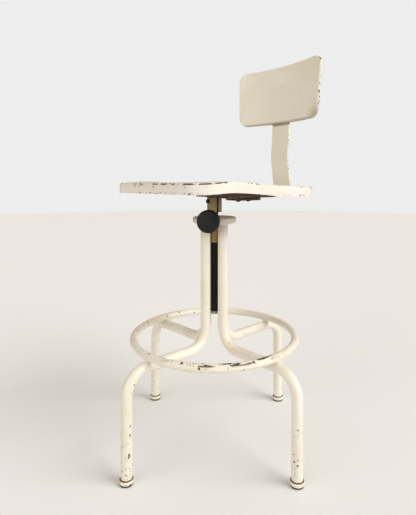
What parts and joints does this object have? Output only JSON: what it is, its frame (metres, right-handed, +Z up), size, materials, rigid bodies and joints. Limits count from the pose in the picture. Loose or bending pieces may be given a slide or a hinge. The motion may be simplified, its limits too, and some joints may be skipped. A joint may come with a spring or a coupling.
{
  "type": "drafting chair",
  "caption": "Swivelling drafting chair: pressed steel seat and backrest on a height-clamped post in a four-legged tube stand with a foot ring.",
  "frame": {"origin": "on the floor, on the axis of the post, midway between the four feet", "axes": "+Z up along the post; the sitter faces -Y; +X is to the sitter's left"},
  "size_m": [0.5522, 0.5522, 0.9975],
  "materials": {
    "stand_enamel": "aged cream enamel, chipped at its edges",
    "seat_enamel": "aged ivory enamel, worn through along its edges",
    "back_enamel": "aged cream enamel, faintly stained",
    "under_enamel": "thin, dirty enamel",
    "post_black": "black oxide, satin",
    "rubber": "black, dull",
    "bakelite": "black moulded phenolic, rubbed",
    "bare_steel": "bright steel, a little tarnished",
    "dark_steel": "dark, rusted fasteners",
    "brass": "dull brass",
    "nylon": "natural nylon"
  },
  "bodies": {
    "base": {"leg_tube_front": "stand_enamel", "foot_cap_front": "stand_enamel", "foot_pad_front": "rubber", "leg_tube_left": "stand_enamel", "foot_cap_left": "stand_enamel", "foot_pad_left": "rubber", "leg_tube_rear": "stand_enamel", "foot_cap_rear": "stand_enamel", "foot_pad_rear": "rubber", "leg_tube_right": "stand_enamel", "foot_cap_right": "stand_enamel", "foot_pad_right": "rubber", "foot_ring": "stand_enamel", "ring_welds": "stand_enamel", "tube_welds": "stand_enamel", "top_flange": "stand_enamel", "clamp_boss": "stand_enamel", "guide_sleeve": "stand_enamel", "guide_bush": "nylon"},
    "stop": {"post_stop": "bare_steel"},
    "seat": {"post": "post_black", "post_socket": "seat_enamel", "socket_weld": "seat_enamel", "cotter_bolt": "dark_steel", "cotter_nut": "dark_steel", "seat_pan": "seat_enamel", "seat_channel": "under_enamel", "back_bar": "back_enamel", "clamp_plate": "under_enamel", "back_bolts": "dark_steel", "back_washers": "dark_steel", "back_nuts": "dark_steel", "back_plate": "back_enamel", "back_packing": "back_enamel", "back_welds": "back_enamel"},
    "pad": {"clamp_pad": "brass"},
    "knob": {"clamp_screw": "bare_steel", "knob_insert": "bare_steel", "clamp_knob": "bakelite"}
  },
  "joints": [
    {"name": "post_lift", "type": "slide", "parent": "base", "child": "stop", "axis": [0, 0, 1], "range_m": [-0.009, 0.17]},
    {"name": "seat_turn", "type": "hinge", "parent": "stop", "child": "seat", "pos_m": [0, 0, 0.6], "axis": [0, 0, 1], "continuous": true},
    {"name": "pad_press", "type": "slide", "parent": "base", "child": "pad", "axis": [0.632, -0.7749, 0], "range_m": [0, 0.00187]},
    {"name": "knob_turn", "type": "hinge", "parent": "pad", "child": "knob", "pos_m": [0.04993, -0.06122, 0.557], "axis": [0.632, -0.7749, 0], "range_deg": [0, 540]}
  ],
  "couplings": [
    {"joint": "knob_turn", "follows": "pad_press", "rad_per_m": 5026.5}
  ]
}
